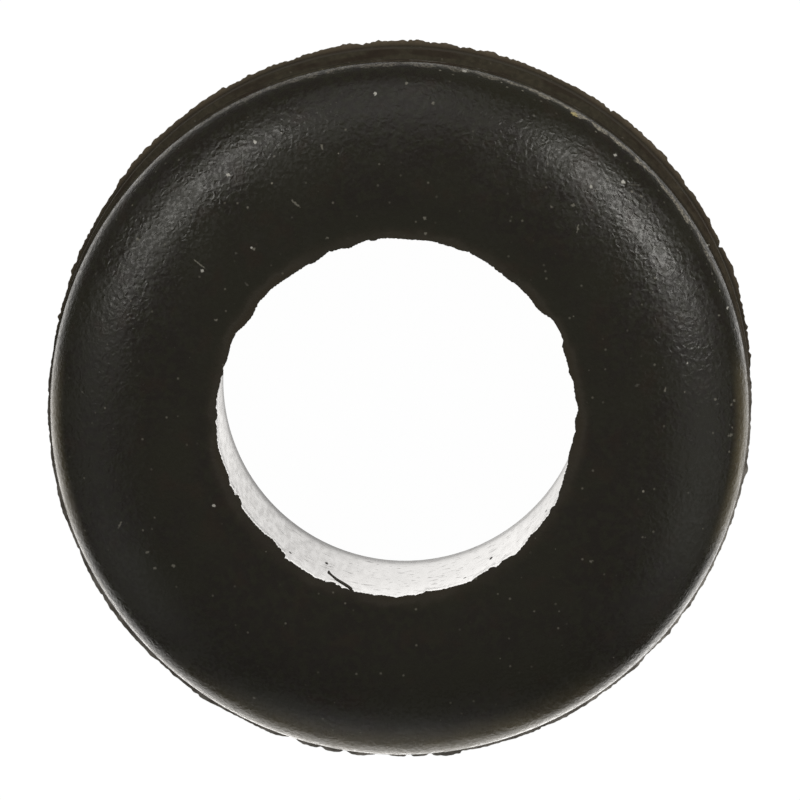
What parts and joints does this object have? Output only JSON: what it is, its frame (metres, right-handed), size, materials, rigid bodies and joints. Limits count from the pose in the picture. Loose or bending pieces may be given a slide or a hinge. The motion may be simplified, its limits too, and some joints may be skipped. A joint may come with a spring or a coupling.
{
  "type": "rubber grommet",
  "caption": "Round black rubber grommet: two domed flanges, a groove between them that grips a panel's edge, and a plain bore for a cable.",
  "frame": {"origin": "centre of the lower flat face, on the bore's axis", "axes": "+Z along the bore's axis, from the lower flat face to the upper one; the ring is round about Z, so X and Y are any two directions across it"},
  "size_m": [0.0154, 0.0154, 0.0062],
  "materials": {
    "rubber": "satin"
  },
  "bodies": {
    "root": {"grommet": "rubber"}
  },
  "joints": []
}
